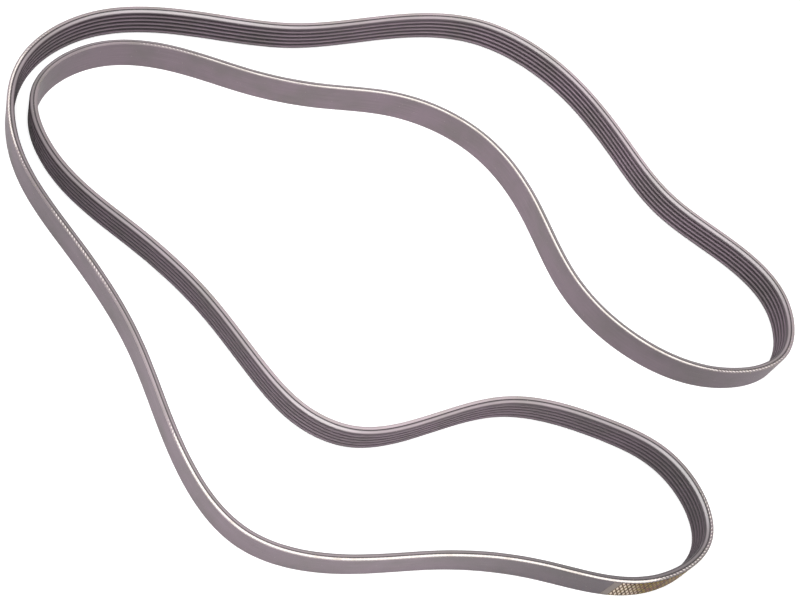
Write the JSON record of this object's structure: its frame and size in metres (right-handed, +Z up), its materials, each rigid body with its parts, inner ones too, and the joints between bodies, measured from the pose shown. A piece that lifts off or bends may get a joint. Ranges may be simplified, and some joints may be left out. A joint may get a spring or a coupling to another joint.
{
  "type": "serpentine belt",
  "caption": "Closed ribbed rubber drive belt with lengthwise vee ribs inside the loop and a smooth back, standing on one cut edge, folded into a wavy two-armed horseshoe.",
  "frame": {"origin": "middle of the belt's bounding box, on the surface that its lower cut edge stands on", "axes": "+Z up, across the belt's width; +X towards the open side between the two arms; +Y towards the far arm"},
  "size_m": [0.4762, 0.3826, 0.0214],
  "materials": {
    "rubber": "matt moulded rubber with a fine grain, lilac grey back and darker ground ribs"
  },
  "bodies": {
    "root": {"serpentine_belt": "rubber"}
  },
  "joints": []
}
